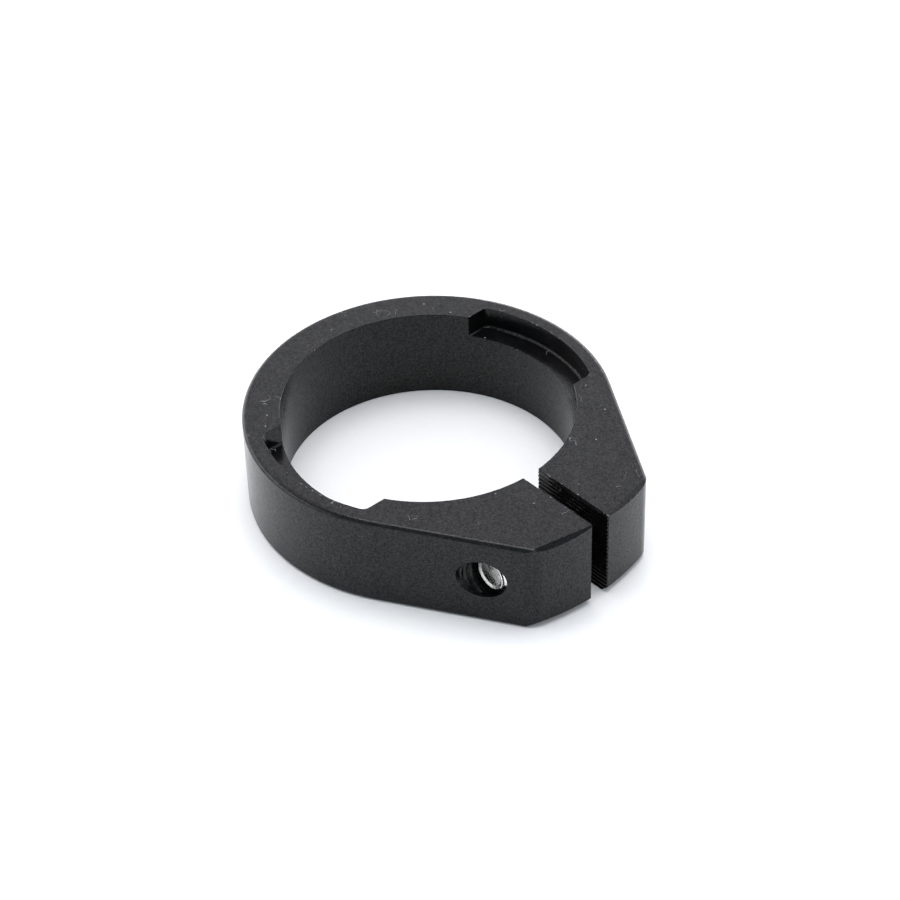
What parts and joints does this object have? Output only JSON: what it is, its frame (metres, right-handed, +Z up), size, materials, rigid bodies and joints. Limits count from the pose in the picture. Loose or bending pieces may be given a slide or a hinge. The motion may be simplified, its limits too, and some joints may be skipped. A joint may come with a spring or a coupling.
{
  "type": "shaft collar",
  "caption": "One-piece split clamp collar with slanted lugs, a sawn slit, two milled recesses in its top face and a low-head clamp screw across the slit.",
  "frame": {"origin": "on the shaft bore's axis, in the plane of the bottom face", "axes": "+Z up along the shaft bore's axis, out of the recessed face; +X from the bore's axis to the slit; +Y to the lug that holds the screw's head"},
  "size_m": [0.0507, 0.0438, 0.0118],
  "materials": {
    "anodised_aluminium": "bead-blasted, black anodised, matte",
    "zinc_plated_steel": "bright zinc plate"
  },
  "bodies": {
    "ring": {"clamp_ring": "anodised_aluminium"},
    "screw": {"clamp_screw": "zinc_plated_steel"}
  },
  "joints": [
    {"name": "clamp_screw_turn", "type": "hinge", "parent": "ring", "child": "screw", "pos_m": [0.02215, 0, 0.0062], "axis": [0, 1, 0], "range_deg": [-270, 4320]}
  ]
}
